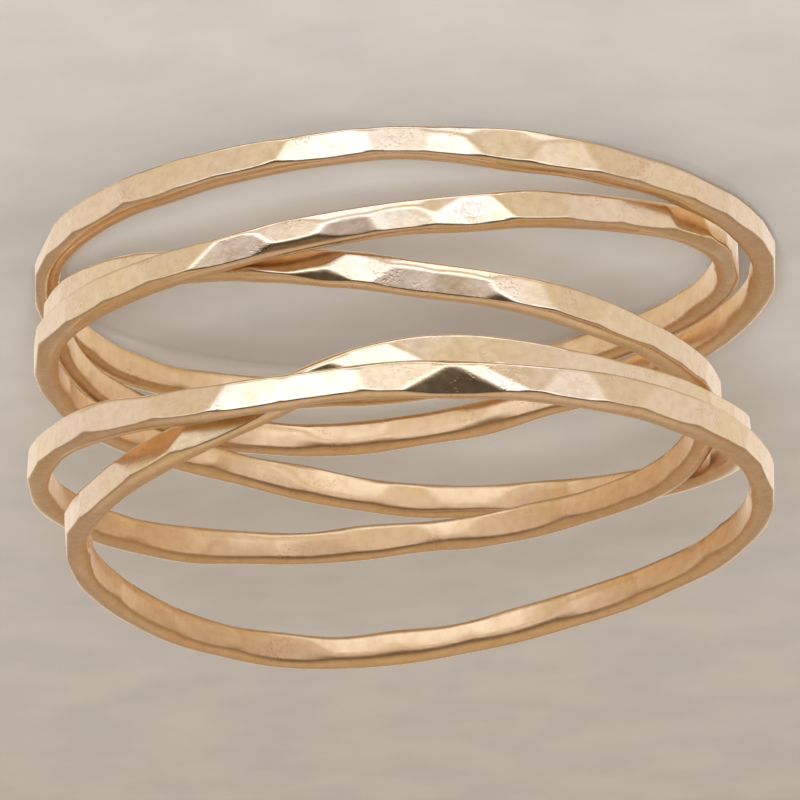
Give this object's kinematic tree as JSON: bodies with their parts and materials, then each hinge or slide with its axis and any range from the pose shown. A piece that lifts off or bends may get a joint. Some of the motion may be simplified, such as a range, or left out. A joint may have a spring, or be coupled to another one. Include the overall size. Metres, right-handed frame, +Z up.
{
  "type": "wrapped wire ring",
  "caption": "Finger ring made of one hammered gold wire wound round and round in loose crossing turns, joined end to end.",
  "frame": {"origin": "centre of the ring's box on the surface that it lies on", "axes": "+Z up along the finger's axis, as the ring lies on its side, and -Y towards the picture's camera"},
  "size_m": [0.0204, 0.0205, 0.0091],
  "materials": {
    "gold": "polished yellow gold with a slight rose tint, hammered into long facets, with fine pits and scratches"
  },
  "bodies": {
    "root": {"wrapped_wire": "gold"}
  },
  "joints": []
}
